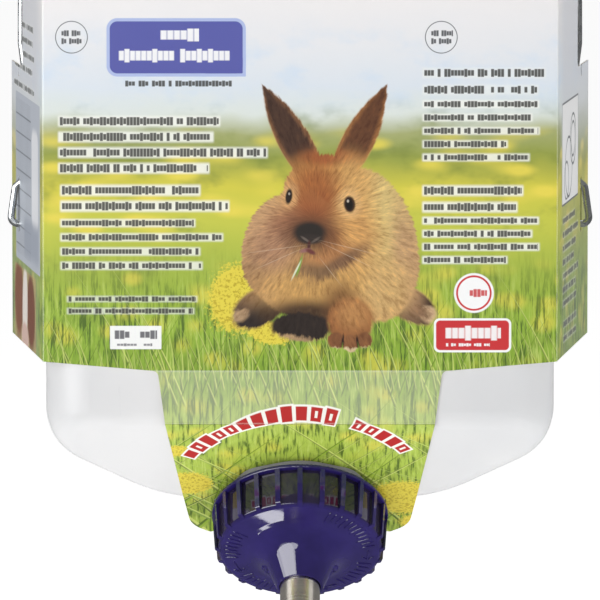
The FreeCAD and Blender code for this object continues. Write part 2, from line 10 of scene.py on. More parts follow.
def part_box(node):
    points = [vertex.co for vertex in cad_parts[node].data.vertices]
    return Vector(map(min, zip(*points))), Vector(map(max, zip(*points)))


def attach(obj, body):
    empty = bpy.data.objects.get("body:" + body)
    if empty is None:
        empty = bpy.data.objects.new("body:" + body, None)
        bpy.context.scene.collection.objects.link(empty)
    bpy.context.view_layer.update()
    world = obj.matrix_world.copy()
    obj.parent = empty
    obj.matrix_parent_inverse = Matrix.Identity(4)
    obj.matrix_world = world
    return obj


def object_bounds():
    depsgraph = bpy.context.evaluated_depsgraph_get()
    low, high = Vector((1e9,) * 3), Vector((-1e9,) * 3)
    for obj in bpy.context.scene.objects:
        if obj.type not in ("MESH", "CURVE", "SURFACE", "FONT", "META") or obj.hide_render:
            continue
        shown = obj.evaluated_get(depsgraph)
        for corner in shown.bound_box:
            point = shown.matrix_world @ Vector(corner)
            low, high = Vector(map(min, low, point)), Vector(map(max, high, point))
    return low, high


# Looks of a hanging water bottle for rabbits. Metres, in the model's own frame: X to the right as seen from
# the cage, Y away from the cage and Z up, with the origin on the axis of the cage rail. The print on the
# card is worked out by shader nodes in millimetres on the flat card: u across from its middle, v down from
# its top edge.

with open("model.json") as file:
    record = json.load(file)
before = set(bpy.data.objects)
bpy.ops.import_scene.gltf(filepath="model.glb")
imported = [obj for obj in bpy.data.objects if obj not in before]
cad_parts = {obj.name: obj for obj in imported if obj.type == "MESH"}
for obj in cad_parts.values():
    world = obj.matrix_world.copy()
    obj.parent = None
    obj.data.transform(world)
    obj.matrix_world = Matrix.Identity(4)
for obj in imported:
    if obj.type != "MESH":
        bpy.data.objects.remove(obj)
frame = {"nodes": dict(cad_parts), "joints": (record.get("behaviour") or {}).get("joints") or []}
cad_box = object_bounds()

MM = 0.001
JOINTS = {joint["name"]: joint for joint in frame["joints"]}
NECK_AXIS = Vector(JOINTS["cap_turn"]["axis"]).normalized()
RIM = Vector(JOINTS["cap_turn"]["pos_m"])
NECK_X = Vector((1, 0, 0))
NECK_Y = NECK_AXIS.cross(NECK_X)
NECK_TILT = math.atan2(-NECK_AXIS.y, -NECK_AXIS.z)
CARD_LOW, CARD_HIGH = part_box("printed_sleeve")
FOLD_U = 81.1        # front folds, from the card's middle
FOLD_V = 134.9       # fold between the front and the fork, below the top edge
PANEL_V = 118.2      # crease where the fork leaves the panel
WING_DEPTH = 85.6    # front to back
WING_FLARE = 12.4    # how far a wing's back edge stands out


# ---------------------------------------------------------------- shader nodes


def ink(red, green, blue):
    """A colour given in display values from 0 to 255."""
    return tuple(c / 12.92 if c <= 0.04045 else ((c + 0.055) / 1.055) ** 2.4
                 for c in (red / 255, green / 255, blue / 255))


class Value:
    """A number that nodes work out. Arithmetic on it adds Math nodes."""

    def __init__(self, nodes, socket):
        self.nodes, self.socket = nodes, socket

    def __add__(self, other):
        return self.nodes.maths("ADD", self, other)

    def __sub__(self, other):
        return self.nodes.maths("SUBTRACT", self, other)

    def __mul__(self, other):
        return self.nodes.maths("MULTIPLY", self, other)

    def __truediv__(self, other):
        return self.nodes.maths("DIVIDE", self, other)

    def __radd__(self, other):
        return self.nodes.maths("ADD", other, self)

    def __rsub__(self, other):
        return self.nodes.maths("SUBTRACT", other, self)

    def __rmul__(self, other):
        return self.nodes.maths("MULTIPLY", other, self)

    def __abs__(self):
        return self.nodes.maths("ABSOLUTE", self)

    def __gt__(self, other):
        return self.nodes.maths("GREATER_THAN", self, other)

    def __lt__(self, other):
        return self.nodes.maths("LESS_THAN", self, other)

    def floor(self):
        return self.nodes.maths("FLOOR", self)


class Nodes:
    """Adds nodes to a tree. Whatever is fed in may be a socket, a Value, a number or a tuple."""

    def __init__(self, tree):
        self.tree = tree
        where = tree.nodes.new("ShaderNodeTexCoord")
        self.place, self.normal = where.outputs["Object"], where.outputs["Normal"]

    def feed(self, socket, value):
        if isinstance(value, Value):
            value = value.socket
        if isinstance(value, bpy.types.NodeSocket):
            self.tree.links.new(value, socket)
        elif isinstance(value, (tuple, list, Vector)) and socket.type == "RGBA":
            socket.default_value = (*value[:3], 1)
        else:
            socket.default_value = value

    def add(self, kind, *values, **settings):
        """A node with its first inputs fed in order, where None leaves one alone; returns its outputs."""
        node = self.tree.nodes.new("ShaderNode" + kind)
        for setting, value in settings.items():
            setattr(node, setting, value)
        for socket, value in zip(node.inputs, values):
            if value is not None:
                self.feed(socket, value)
        return node.outputs

    def maths(self, operation, *values):
        return Value(self, self.add("Math", *values, operation=operation)[0])

    def vector(self, operation, *values):
        return self.add("VectorMath", *values, operation=operation)[0]

    def measure(self, operation, *values):
        """A length, distance or dot product of vectors."""
        return Value(self, self.add("VectorMath", *values, operation=operation)[1])

    def scale(self, vector, factor):
        return self.vector("SCALE", vector, None, None, factor)

    def split(self, vector):
        return [Value(self, part) for part in self.add("SeparateXYZ", vector)]

    def join(self, x, y, z=0.0):
        return self.add("CombineXYZ", x, y, z)[0]

    def step(self, value, zero, one):
        """0 up to zero, 1 from one on and smooth between them; zero may lie above one."""
        outputs = self.add("MapRange", value, zero, one, interpolation_type="SMOOTHSTEP")
        return Value(self, outputs[0])

    def mix(self, under, over, share, blend="MIX"):
        node = self.tree.nodes.new("ShaderNodeMix")
        node.data_type, node.blend_type = "RGBA", blend
        self.feed(node.inputs[0], share)
        self.feed(node.inputs[6], under)
        self.feed(node.inputs[7], over)
        return node.outputs[2]

    def grid(self, scale, shift=(0, 0, 0)):
        """Object coordinates in other units."""
        return self.add("Mapping", self.place, shift, None, scale)[0]

    def noise(self, scale, detail=2.0, rough=0.5, shift=(0, 0, 0)):
        """Cloudy noise from 0 to 1; scale is in waves per metre along each axis."""
        return Value(self, self.add("TexNoise", self.grid(scale, shift), None, 1.0, detail, rough)[0])

    def chance(self, number):
        """A random number from 0 to 1 for each number. (Each White Noise node would use up stack room.)"""
        return self.maths("FRACT", self.maths("SINE", number * 91.7 + 3.1) * 437.58)

    def ramp(self, value, stops):
        """A smooth run of colours; stops are (place from 0 to 1, colour)."""
        node = self.tree.nodes.new("ShaderNodeValToRGB")
        elements = node.color_ramp.elements
        while len(elements) < len(stops):
            elements.new(1.0)
        for element, (at, colour) in zip(elements, stops):
            element.position = at
            element.color = (*colour, 1)
        self.feed(node.inputs[0], value)
        return node.outputs[0]


class Finish(Nodes):
    """The nodes of one material, round a Principled shader."""

    def __init__(self, name, **shader):
        self.material = bpy.data.materials.new(name)
        self.material.use_nodes = True
        super().__init__(self.material.node_tree)
        self.shader = next(n for n in self.tree.nodes if n.type == "BSDF_PRINCIPLED")
        for socket, value in shader.items():
            self.shade(socket.replace("_", " "), value)

    def shade(self, socket, value):
        self.feed(self.shader.inputs[socket], value)

    def bump(self, height, distance, strength=1.0):
        node = self.tree.nodes.new("ShaderNodeBump")
        self.feed(node.inputs["Height"], height)
        self.feed(node.inputs["Distance"], distance)
        self.feed(node.inputs["Strength"], strength)
        self.shade("Normal", node.outputs[0])


# ---------------------------------------------------------------- the print on the card


class Print:
    """What is printed on the card. Each paint goes over the ones before it. A point on the card is the
    vector (u, v, 1), so that one dot product can both shift and turn it."""

    def __init__(self, nodes, u, v, colour):
        self.nodes, self.u, self.v, self.colour = nodes, u, v, colour
        self.point = nodes.join(u, v, 1.0)

    def paint(self, colour, mask, blend="MIX"):
        self.colour = self.nodes.mix(self.colour, colour, mask, blend)

    def within(self, painter):
        """Runs a painter in a node group of its own, which keeps each tree small. Its coordinates are made
        to wait for the colour below it: the renderer works out whatever is ready and has little room."""
        group = bpy.data.node_groups.new(painter.__name__, "ShaderNodeTree")
        for name, kind in (("U", "Float"), ("V", "Float"), ("Colour", "Color")):
            group.interface.new_socket(name, in_out="INPUT", socket_type="NodeSocket" + kind)
        group.interface.new_socket("Colour", in_out="OUTPUT", socket_type="NodeSocketColor")
        given = group.nodes.new("NodeGroupInput").outputs
        nodes = Nodes(group)
        wait = nodes.maths("MULTIPLY", given[2], 1e-9)
        inner = Print(nodes, Value(nodes, given[0]) + wait, Value(nodes, given[1]) + wait, given[2])
        painter(inner)
        nodes.feed(group.nodes.new("NodeGroupOutput").inputs[0], inner.colour)
        self.colour = self.nodes.add("Group", self.u, self.v, self.colour, node_tree=group)[0]

    def axes(self, centre, half, turn, point):
        """How far along and across a turned box a point is, in half-sizes from its centre."""
        turn = math.radians(turn)
        return [self.nodes.measure("DOT_PRODUCT", point, (a / size, b / size,
                                                          -(a * centre[0] + b * centre[1]) / size))
                for a, b, size in ((math.cos(turn), math.sin(turn), half[0]),
                                   (-math.sin(turn), math.cos(turn), half[1]))]

    def oval(self, centre, half, turn=0.0, soft=0.1, point=None):
        """A filled oval; its edge fades over soft of its half-size each way."""
        point = point or self.point
        if turn:
            around = self.nodes.join(*self.axes(centre, half, turn, point))
        else:
            around = self.nodes.vector("MULTIPLY_ADD", point, (1 / half[0], 1 / half[1], 0),
                                       (-centre[0] / half[0], -centre[1] / half[1], 0))
        return self.nodes.step(self.nodes.measure("LENGTH", around), 1 + soft, 1 - soft)

    def plate(self, centre, half, corner, soft=0.12):
        """A filled box with round corners."""
        side = self.nodes.vector("ABSOLUTE", self.nodes.vector("SUBTRACT", self.point, (*centre, 1)))
        core = (half[0] - corner, half[1] - corner, 0)
        past = self.nodes.vector("MAXIMUM", self.nodes.vector("SUBTRACT", side, core), (0, 0, 0))
        return self.nodes.step(self.nodes.measure("LENGTH", past), corner + soft, corner - soft)

    def ring(self, centre, radius, half_width, soft=0.12):
        off = abs(self.nodes.measure("DISTANCE", self.point, (*centre, 1)) - radius)
        return self.nodes.step(off, half_width + soft, half_width - soft)

    def leaf(self, tip, turn, length, half_width, point, soft=0.4):
        """A pointed leaf, such as an ear: it starts at tip and runs to a broad foot."""
        along, across = self.axes(tip, (length, 1), turn, point)
        half = along * (2.2 - along * 1.35) * half_width
        return self.nodes.step(abs(across) - half, soft, -soft)


def dashes(art, left, top, length, rows, pitch, height, colour, halo=0.75, letter=1.05):
    """Rows of plain strokes in word-like runs, in a pale halo, where small print would be. The rows end
    raggedly."""
    nodes = art.nodes
    row = (art.v - top) / pitch
    number = row.floor()
    within = nodes.step(abs(number - (rows - 1) / 2), rows / 2, rows / 2 - 0.2)
    off = abs(row - number - 0.5) * pitch
    along = art.u - left
    end = length - nodes.chance(number * 5.0 + left) * (0.3 * length)
    spread = nodes.step(along, -1.0, 0) * nodes.step(along - end, 1.0, 0) * within
    if halo:
        art.paint(ink(246, 247, 240), spread * nodes.step(off, height * 1.0, height * 0.45) * halo)
    cell = (along / letter).floor()
    luck = nodes.chance(cell + number * 37.0 + top * 3.0)
    gap = luck > 0.16
    stroke = nodes.step(abs(along / letter - cell - 0.5), 0.5, 0.3)
    inside = (along > 0) * (along < end) * within
    tall = height * 0.38 + (luck > 0.62) * (height * 0.16)
    body = nodes.step(off - tall, 0.22, -0.1)
    art.paint(colour, body * inside * gap * (stroke * 0.5 + 0.42))


def blades(art, base, tall, pitch, thick, lean, bend, seed, share, light, dark):
    """A row of grass blades that rise from v = base, each with a pale and a dark side."""
    nodes = art.nodes
    rise = base - art.v
    across = (art.u + rise * (rise * bend + lean)) / pitch + seed
    cell = across.floor()
    height, shift, luck = [nodes.chance(cell + part) for part in (0.0, 0.3, 0.6)]
    taper = 1.0 - rise / (height * (0.65 * tall) + 0.35 * tall)
    off = (across - cell - 0.5 - (shift - 0.5) * 0.45) * pitch
    mask = nodes.step(abs(off) - taper * thick, 0.16, -0.16) * nodes.step(rise, 0, 2)
    side = nodes.step(off, -0.25, 0.25)
    tint = nodes.mix(dark, light, side * 0.7 + height * 0.3)
    art.paint(tint, mask * (luck < share) * 0.9)


def paint_meadow(art):
    """Out-of-focus sky, horizon and flowering meadow."""
    nodes = art.nodes
    drift = nodes.noise((45, 45, 70), 2, 0.5)
    depth = art.v / 200.0 + (drift - 0.5) * 0.035
    art.colour = nodes.ramp(depth, [
        (0.00, ink(240, 237, 237)), (0.07, ink(232, 233, 236)), (0.14, ink(220, 228, 236)),
        (0.185, ink(221, 228, 222)), (0.215, ink(168, 174, 116)), (0.25, ink(150, 160, 72)),
        (0.30, ink(212, 204, 72)), (0.36, ink(198, 202, 76)), (0.43, ink(164, 184, 70)),
        (0.52, ink(150, 182, 62)), (0.60, ink(130, 164, 52)), (0.68, ink(178, 200, 88)),
        (0.80, ink(176, 200, 76)), (1.00, ink(166, 190, 72))])
    pale = nodes.noise((70, 70, 110), 3, 0.55, (3, 7, 0))
    sky = nodes.step(art.v, 40, 30)
    art.paint(ink(205, 222, 240), sky * nodes.step(pale, 0.45, 0.75) * nodes.step(art.v, 2, 22) * 0.6)
    art.paint(ink(112, 130, 56), (1.0 - sky) * nodes.step(pale, 0.5, 0.78) * 0.55)
    for cell, seed, top, bottom, share in (((17, 7), 0, 43, 80, 0.85), ((11, 8), 5, 84, 200, 0.55)):
        grid = nodes.grid((1000 / cell[0], 1000 / cell[0], 1000 / cell[1]), (seed, seed, seed))
        blot = nodes.add("TexVoronoi", grid, None, 1.0, feature="SMOOTH_F1")[0]
        band = nodes.step(art.v, top - 4, top + 5) * nodes.step(art.v, bottom + 6, bottom - 8)
        art.paint(ink(236, 218, 86), nodes.step(blot, 0.42, 0.12) * band * share)
    streak = nodes.noise((1100, 120, 120), 3, 0.6)
    ground = nodes.step(art.v, 76, 104)
    art.paint(ink(66, 94, 34), ground * nodes.step(streak, 0.48, 0.66) * 0.85)
    art.paint(ink(206, 222, 122), ground * nodes.step(streak, 0.46, 0.28) * 0.6)


GRASS = [
    # base v, height, pitch, thickness, lean, bend, seed, share, colours
    (130, 50, 4.6, 0.55, 0.35, 0.004, 3.1, 0.60, 2),
    (127, 38, 3.1, 0.45, -0.30, -0.006, 11.4, 0.70, 1),
    (125, 30, 2.3, 0.42, 0.12, 0.010, 23.7, 0.75, 2),
    (122, 20, 1.7, 0.34, -0.10, 0.012, 87.3, 0.75, 0),
    (215, 96, 9.3, 2.00, 0.62, 0.002, 31.2, 0.75, 2),
    (214, 92, 8.2, 1.70, -0.58, -0.002, 47.9, 0.75, 1),
    (190, 74, 9.1, 1.10, 1.15, 0.003, 53.3, 0.80, 0),
    (182, 60, 6.1, 0.70, -1.25, 0.004, 67.5, 0.65, 2),
    (205, 66, 3.4, 0.60, 0.15, -0.006, 71.8, 0.75, 1),
    (176, 50, 8.3, 0.50, 2.10, 0.004, 93.1, 0.60, 0),
]


def paint_grass(art):
    pale, fresh, deep = ink(216, 228, 124), ink(158, 190, 58), ink(54, 82, 26)
    pairs = ((pale, ink(124, 156, 66)), (fresh, deep), (pale, deep))
    for base, tall, pitch, thick, lean, bend, seed, share, pair in GRASS:
        blades(art, base, tall, pitch, thick, lean, bend, seed, share, *pairs[pair])


FLOWERS = [((-19.5, 95.0), (9.0, 11.0), 15), ((-9.5, 106.0), (7.0, 3.6), 10), ((-36, 168), (8, 6), 0),
           ((33, 176), (11, 9), 0), ((-39, 150), (4, 3), 0), ((40, 190), (8, 5), 0)]


def paint_flowers(art):
    """Yellow flower heads with a ragged fringe of petals."""
    nodes = art.nodes
    fringe = nodes.noise((1300, 1300, 1300), 2, 0.6)
    for centre, half, turn in FLOWERS:
        away = nodes.vector("SUBTRACT", art.point, (*centre, 1))
        head = art.oval((0, 0), half, turn, 0.14, nodes.scale(away, (fringe - 0.5) * 0.9 + 1.0))
        art.paint(ink(230, 212, 74), head * 0.95)
        art.paint(ink(176, 150, 30), head * nodes.step(fringe, 0.50, 0.62) * 0.70)


def paint_strip_glare(art):
    """Painted glare: the strip between the two creases under the front picture is painted paler, for the
    glare on it.
    """
    strip = art.nodes.step(art.v, PANEL_V - 0.3, PANEL_V + 0.4) * art.nodes.step(art.v, FOLD_V, FOLD_V - 0.6)
    # Painted glare: a pale wash over the strip between the creases.
    art.paint(ink(236, 242, 214), strip * 0.28)


FUR = ink(204, 160, 104)
FIRM_EDGE = 0.2      # parts of the feet that are softer than this are only shading
# Patches of the rabbit's coat: centre, half-size, turn, softness, colour, strength. The feet have no
# strength. The hind feet are painted under the body, the paws over it, and the head over both.
BODY_PATCHES = [
    ((24, 66), (13, 20), -20, 0.7, ink(212, 188, 122), 0.9),      # pale back
    ((34, 84), (4.5, 18), -6, 0.6, ink(186, 146, 108), 0.8),      # flank in shade
    ((-12, 76), (8, 16), 0, 0.6, ink(190, 150, 112), 0.8),
    ((-15, 88), (5, 10), 20, 0.6, ink(150, 114, 82), 0.7),
    ((9, 92), (21, 9), 0, 0.6, ink(196, 152, 88), 0.9),           # chest
    ((27, 93), (7, 10), 25, 0.6, ink(206, 170, 112), 0.8),
    ((2, 101), (14, 5), 0, 0.5, ink(66, 46, 32), 0.95),           # shade under the chest
    ((13, 97), (5, 6), 0, 0.7, ink(112, 72, 40), 0.8),
]
HIND_FEET = [
    ((34.4, 96.8), (9.6, 5.2), 32, 0.12, ink(54, 38, 30)),
    ((41.0, 100.4), (3.4, 2.6), 30, 0.3, ink(205, 172, 134)),
    ((36.6, 98.6), (4.0, 1.6), 34, 0.7, ink(96, 66, 46)),
    ((-12.6, 97.8), (9.6, 5.8), -30, 0.12, ink(48, 40, 38)),
    ((-19.0, 100.6), (2.8, 1.8), -20, 0.4, ink(176, 146, 112)),
]
PAWS = [
    ((0.4, 104.2), (9.6, 4.6), 3, 0.12, ink(46, 36, 32)),
    ((-2.5, 108.0), (6.5, 1.2), 6, 0.5, ink(168, 138, 102)),
    ((15.9, 102.5), (7.2, 7.4), 0, 0.12, ink(150, 98, 56)),
    ((17.0, 100.0), (5.0, 4.5), 0, 0.7, ink(184, 132, 78)),
    ((11.2, 108.4), (2.5, 2.6), 0, 0.15, ink(128, 82, 50)),
    ((15.8, 109.4), (2.5, 2.7), 0, 0.15, ink(140, 92, 56)),
    ((20.3, 108.2), (2.4, 2.6), 0, 0.15, ink(132, 86, 52)),
    ((13.5, 108.6), (0.4, 2.0), 8, 0.5, ink(52, 32, 22)),
    ((18.1, 108.8), (0.4, 2.0), -8, 0.5, ink(52, 32, 22)),
    ((16.0, 111.4), (7.0, 0.9), 0, 0.5, ink(214, 190, 150)),
]
HEAD_PATCHES = [
    ((8.5, 56.0), (12.0, 6.0), 0, 0.6, ink(206, 152, 82), 0.9),   # crown
    ((9.5, 50.4), (8.0, 2.4), 0, 0.6, ink(150, 78, 40), 0.9),
    ((17.0, 62.0), (6.5, 11.0), -6, 0.6, ink(208, 162, 98), 0.9),  # side of the face
    ((16.5, 75.5), (8.5, 8.5), 0, 0.6, ink(204, 152, 90), 0.9),
    ((4.6, 63.0), (8.0, 12.0), 0, 0.6, ink(156, 90, 46), 0.9),    # forehead
    ((3.6, 68.5), (5.5, 5.0), 0, 0.7, ink(152, 84, 46), 0.6),
    ((-4.6, 73.0), (5.5, 6.5), 15, 0.7, ink(150, 96, 70), 0.8),   # left cheek
    ((-8.5, 79.5), (7.0, 6.0), 30, 0.7, ink(170, 128, 98), 0.8),
    ((9.5, 76.5), (4.0, 4.5), 0, 0.7, ink(146, 84, 48), 0.7),
    ((8.8, 82.0), (8.5, 3.4), -14, 0.7, ink(176, 122, 76), 0.9),  # lip
    ((12.8, 83.8), (9.5, 2.0), -32, 0.7, ink(112, 82, 62), 0.85),  # shade under the jaw
    ((3.6, 86.4), (6.5, 2.2), 6, 0.7, ink(120, 92, 66), 0.8),
    ((-3.4, 62.6), (2.6, 4.0), 8, 0.5, ink(214, 166, 112), 0.7),  # round the eyes
    ((15.6, 65.2), (3.4, 4.4), -6, 0.5, ink(222, 178, 120), 0.8),
    ((3.2, 74.6), (8.6, 6.0), 0, 0.6, ink(84, 54, 38), 0.8),     # round the nose
]
FACE = [
    ((3.0, 74.2), (5.0, 3.3), 0, 0.30, ink(44, 38, 34)),          # nose
    ((3.4, 76.3), (3.6, 1.5), 0, 0.40, ink(52, 44, 40)),
    ((1.7, 76.4), (1.5, 0.35), 34, 0.6, ink(104, 92, 84)),
    ((4.9, 76.6), (1.5, 0.35), -34, 0.6, ink(96, 84, 76)),
    ((2.8, 78.4), (0.5, 1.6), 6, 0.5, ink(78, 42, 38)),           # mouth
    ((1.6, 79.9), (1.7, 0.6), -14, 0.5, ink(150, 104, 98)),
    ((3.4, 80.3), (1.6, 0.7), 26, 0.5, ink(110, 58, 54)),
    ((-0.2, 84.8), (0.45, 3.4), 16, 0.4, ink(128, 158, 66)),      # grass in the mouth
    ((-1.2, 86.2), (0.28, 3.2), 26, 0.4, ink(216, 222, 190)),
    ((-3.5, 62.8), (1.05, 2.4), 8, 0.25, ink(40, 30, 24)),        # left eye
    ((-3.4, 62.0), (0.3, 0.4), 0, 0.5, ink(170, 160, 150)),
    ((15.6, 65.3), (1.8, 2.6), -6, 0.2, ink(66, 44, 28)),        # right eye
    ((15.5, 65.3), (1.15, 1.9), -6, 0.25, ink(24, 18, 15)),
    ((15.1, 64.3), (0.35, 0.45), 0, 0.5, ink(190, 180, 168)),
]
WHISKERS = [((15.5, 79.0), 8.5, 14), ((15.0, 81.5), 8.0, 26), ((-7.5, 79.5), 8.5, -8),
            ((-6.5, 82.5), 7.5, -24), ((9.5, 86.5), 5.0, 52)]
SILHOUETTE = [((9.2, 83), (26.4, 20.4), 0), ((21.0, 78), (16.0, 25.0), -14), ((-5.6, 79), (12.6, 17.4), 14),
              ((8.2, 63), (13.8, 13.6), 0)]
EARS = [((-11.9, 27.6), 60.3, 26.4, 5.8, ink(132, 90, 58), ink(72, 48, 36)),
        ((27.4, 27.6), 117.2, 25.4, 5.7, ink(156, 104, 58), ink(98, 60, 36))]
NOSE_BRIDGE = (4.5, 70.0, 1.0)


def paint_feet(coat, feet, furry, shape):
    """Paints feet on the coat, and returns the shape with their outlines added."""
    for centre, half, turn, soft, colour in feet:
        part = coat.oval(centre, half, turn, soft, furry)
        coat.paint(colour, part)
        if soft < FIRM_EDGE:
            shape = coat.nodes.maths("MAXIMUM", shape, part)
    return shape


def paint_patches(coat, patches, furry):
    for centre, half, turn, soft, colour, strength in patches:
        coat.paint(colour, coat.oval(centre, half, turn, soft, furry) * strength)


def paint_rabbit(art):
    """A brown rabbit that sits facing the viewer. Its hair runs out from the bridge of the nose."""
    nodes = art.nodes
    heading = nodes.vector("NORMALIZE", nodes.vector("SUBTRACT", art.point, NOSE_BRIDGE))
    round_nose = abs(nodes.maths("ARCTAN2", nodes.measure("DOT_PRODUCT", heading, (1, 0, 0)),
                                 nodes.measure("DOT_PRODUCT", heading, (0, -1, 0))))
    hair = Value(nodes, nodes.add("TexNoise", nodes.grid((290, 290, 290)), round_nose * 24.0, 1.0, 3.0, 0.65,
                                  noise_dimensions="4D")[0])
    furry = nodes.vector("ADD", art.point, nodes.scale(heading, (hair - 0.5) * 3.6))

    coat = Print(nodes, art.u, art.v, FUR)
    body = None
    for centre, half, turn in SILHOUETTE:
        part = art.oval(centre, half, turn, 0.03, furry)
        body = part if body is None else nodes.maths("MAXIMUM", body, part)
    shape = paint_feet(coat, HIND_FEET, furry, body)
    coat.paint(FUR, body)
    paint_patches(coat, BODY_PATCHES, furry)
    shape = paint_feet(coat, PAWS, furry, shape)
    for tip, turn, length, half_width, rim, inner in EARS:
        part = coat.leaf(tip, turn, length, half_width, furry)
        coat.paint(rim, part)
        coat.paint(inner, coat.leaf(tip, turn, length, half_width * 0.78, furry, 1.0))
        shape = nodes.maths("MAXIMUM", shape, part)
    paint_patches(coat, HEAD_PATCHES, furry)
    off_nose = nodes.step(nodes.measure("DISTANCE", art.point, NOSE_BRIDGE), 2.0, 15.0)
    coat.paint((0.50, 0.41, 0.32), nodes.step(hair, 0.52, 0.32) * (off_nose * 0.30 + 0.30), "MULTIPLY")
    coat.paint((1.50, 1.44, 1.26), nodes.step(hair, 0.50, 0.70) * (off_nose * 0.35 + 0.30), "MULTIPLY")
    for centre, half, turn, soft, colour in FACE:
        coat.paint(colour, coat.oval(centre, half, turn, soft))
    for centre, half_length, turn in WHISKERS:
        coat.paint(ink(226, 208, 180), coat.oval(centre, (half_length, 0.12), turn, 0.6) * 0.3)
    art.paint(coat.colour, shape)


def paint_words(art):
    """Plain dashes in place of the small print."""
    dark = ink(58, 58, 54)
    for left, top, length, rows, pitch, height, halo in (
            (-75.6, 36.6, 66, 4, 4.95, 2.3, 0.85), (-75.0, 58.4, 54, 2, 5.0, 2.4, 0.85),
            (-75.0, 69.0, 52, 4, 4.5, 1.8, 0.75), (-73.0, 93.4, 47, 2, 3.8, 1.4, 0.55),
            (39.0, 21.2, 38, 2, 5.3, 2.2, 0.4), (39.0, 31.6, 36, 5, 4.2, 1.7, 0.8),
            (39.0, 58.4, 31, 2, 5.2, 2.3, 0.85), (39.0, 68.4, 36, 4, 4.15, 1.7, 0.85),
            (-55.0, 25.2, 36, 1, 4.0, 1.6, 0)):
        dashes(art, left, top, length, rows, pitch, height, dark, halo)


def paint_badges(art):
    """Plain badges and labels of the usual shapes, with dashes in place of words."""
    nodes, white = art.nodes, ink(250, 250, 250)
    outline, blue = ink(176, 190, 230), ink(88, 92, 168)
    for edge, colour in ((0.0, outline), (1.0, blue)):
        art.paint(colour, art.plate((-38.9, 15.8), (21.9 - edge, 9.2 - edge), 3.4 - edge))
        art.paint(colour, art.plate((-24.0, 21.5), (7.0 - edge, 3.5 - edge), 0.3))
    dashes(art, -46.0, 8.9, 17, 1, 6.0, 3.6, white, 0, 2.1)
    dashes(art, -57.0, 15.6, 44, 1, 5.6, 3.8, white, 0, 1.75)
    for middle in (-71.8, 44.4):
        art.paint(ink(90, 94, 98), art.ring((middle, 12.6), 5.0, 0.13))
        dashes(art, middle - 3.2, 10.1, 7.5, 2, 2.5, 1.6, ink(70, 72, 76), 0, 0.8)
    art.paint(white, art.plate((-51.8, 107.5), (8.1, 3.7), 0.3) * 0.95)
    dashes(art, -58.5, 104.8, 14, 1, 3.6, 2.4, ink(90, 90, 96), 0, 1.6)
    dashes(art, -58.8, 108.9, 16, 1, 1.8, 0.7, ink(120, 120, 124), 0)
    red = ink(206, 52, 56)
    art.paint(white, art.oval((54.8, 93.4), (6.3, 6.3), 0, 0.03))
    art.paint(red, art.ring((54.8, 93.4), 5.3, 0.3))
    dashes(art, 51.0, 91.6, 9.5, 1, 3.6, 2.2, red, 0, 1.2)
    art.paint(white, art.plate((54.4, 106.8), (12.2, 5.4), 1.8))
    art.paint(red, art.plate((54.4, 106.8), (11.5, 4.7), 1.3))
    dashes(art, 45.8, 103.4, 22, 1, 5.4, 4.2, white, 0, 2.05)
    dashes(art, 46.0, 109.0, 17, 1, 1.6, 0.8, white, 0, 0.8)


ARC_CENTRE = (0.0, FOLD_V + 36.4)
ARC_RADIUS = 39.7
ARC_PITCH = 4.7


def paint_arc(art):
    """A red band of blocks in an arc over the neck."""
    nodes = art.nodes
    angle = nodes.maths("ARCTAN2", art.u - ARC_CENTRE[0], ARC_CENTRE[1] - art.v) * ARC_RADIUS + 1.9
    off = abs(nodes.measure("DISTANCE", art.point, (*ARC_CENTRE, 1)) - ARC_RADIUS)
    block = (angle / ARC_PITCH).floor()
    edge = abs(angle / ARC_PITCH - block - 0.5) * ARC_PITCH
    within = nodes.step(abs(block + 0.5), 9.5, 9.2) * (abs(block - 3.0) > 0.5)
    tall = nodes.chance(block + 2.0) * 1.1 + 1.9
    for grow, colour in ((0.65, ink(250, 248, 240)), (0.0, ink(190, 40, 38))):
        side = nodes.step(edge, 1.85 + grow, 1.65 + grow)
        art.paint(colour, side * nodes.step(off - tall, grow + 0.15, grow - 0.15) * within)
    art.paint(ink(250, 246, 238), nodes.step(abs(off - 0.2), 1.0, 0.8) * within
              * nodes.step(abs(edge - 0.1), 0.45, 0.25) * (nodes.chance(block) > 0.3))


